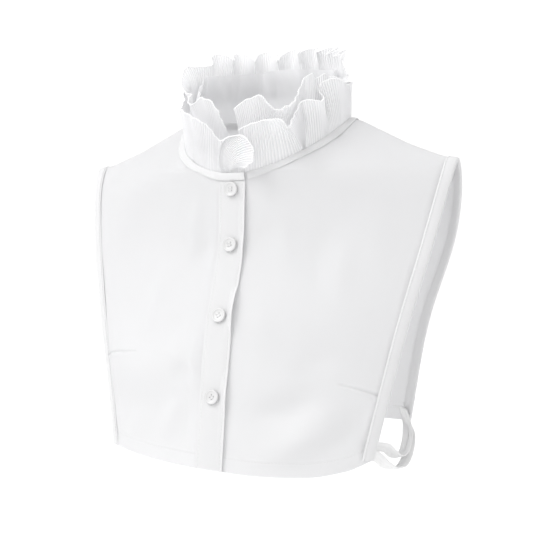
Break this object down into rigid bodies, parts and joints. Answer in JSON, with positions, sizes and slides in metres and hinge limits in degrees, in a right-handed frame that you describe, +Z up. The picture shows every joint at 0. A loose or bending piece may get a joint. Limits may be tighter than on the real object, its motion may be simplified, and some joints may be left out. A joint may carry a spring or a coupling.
{
  "type": "ruffled collar",
  "caption": "Historic dress collar: a short sleeveless buttoned bib with open sides and ribbon straps, and a stand collar edged with two tiers of pleated, sheer ruffles",
  "frame": {"origin": "The middle of the neck opening, about level with its sides, where the wearer's neck and shoulders carry the collar", "axes": "+Z is up and +X is the wearer's left, so the front with its buttons faces -Y"},
  "size_m": [0.3272, 0.1933, 0.3418],
  "materials": {
    "bib_cotton": "matte plain-weave cotton",
    "binding_cotton": "matte bias-cut cotton",
    "strap_ribbon": "soft ribbon",
    "sheer_organza": "sheer crisp organza",
    "button_plastic": "soft gloss"
  },
  "bodies": {
    "root": {"front_right": "bib_cotton", "front_left": "bib_cotton", "back": "bib_cotton", "placket": "bib_cotton", "neck_binding": "binding_cotton", "armhole_binding_front_left": "binding_cotton", "armhole_binding_front_right": "binding_cotton", "armhole_binding_back_left": "binding_cotton", "armhole_binding_back_right": "binding_cotton", "side_strap_outer_left": "strap_ribbon", "side_strap_outer_right": "strap_ribbon", "side_strap_inner_left": "strap_ribbon", "side_strap_inner_right": "strap_ribbon", "collar_stand": "sheer_organza", "ruffle_lower": "sheer_organza", "ruffle_upper": "sheer_organza", "button_1": "button_plastic", "button_2": "button_plastic", "button_3": "button_plastic", "button_4": "button_plastic"}
  },
  "joints": []
}
